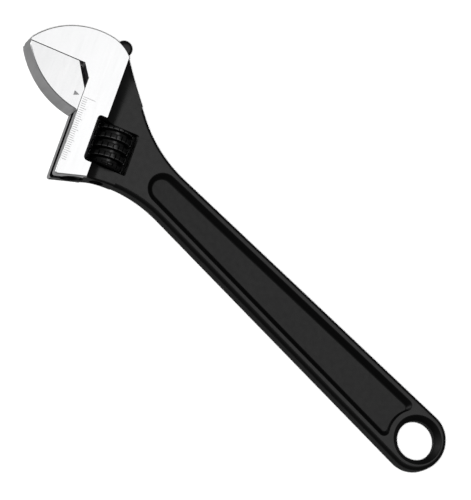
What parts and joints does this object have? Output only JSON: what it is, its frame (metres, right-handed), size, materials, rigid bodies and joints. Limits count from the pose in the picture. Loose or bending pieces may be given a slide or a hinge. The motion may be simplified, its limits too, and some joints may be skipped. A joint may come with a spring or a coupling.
{
  "type": "adjustable wrench",
  "caption": "Black forged adjustable wrench with polished head faces, a sliding lower jaw driven by a knurled worm, and a hanging hole in the handle.",
  "frame": {"origin": "centre of the hanging hole, half way through the thickness", "axes": "+X along the handle towards the head, +Y towards the side the jaw opens to, +Z out of one face"},
  "size_m": [0.2531, 0.0665, 0.0176],
  "materials": {
    "black_forging": "satin black phosphate coating, with ground and polished head faces",
    "polished_steel": "ground and polished faces, bright machined edges",
    "black_knurl": "satin black oxide",
    "pin_steel": "turned steel",
    "spring_steel": "drawn spring wire"
  },
  "bodies": {
    "frame": {"body": "black_forging", "knurl_pin": "pin_steel", "knurl_spring": "spring_steel"},
    "jaw": {"movable_jaw": "polished_steel"},
    "worm": {"knurl": "black_knurl"}
  },
  "joints": [
    {"name": "knurl_turn", "type": "hinge", "parent": "frame", "child": "worm", "pos_m": [0.18274, 0.00351, 0], "axis": [0.3827, -0.9239, 0], "range_deg": [0, 2520]},
    {"name": "jaw_slide", "type": "slide", "parent": "frame", "child": "jaw", "axis": [-0.3827, 0.9239, 0], "range_m": [0, 0.0294]}
  ],
  "couplings": [
    {"joint": "knurl_turn", "follows": "jaw_slide", "rad_per_m": 1496}
  ]
}
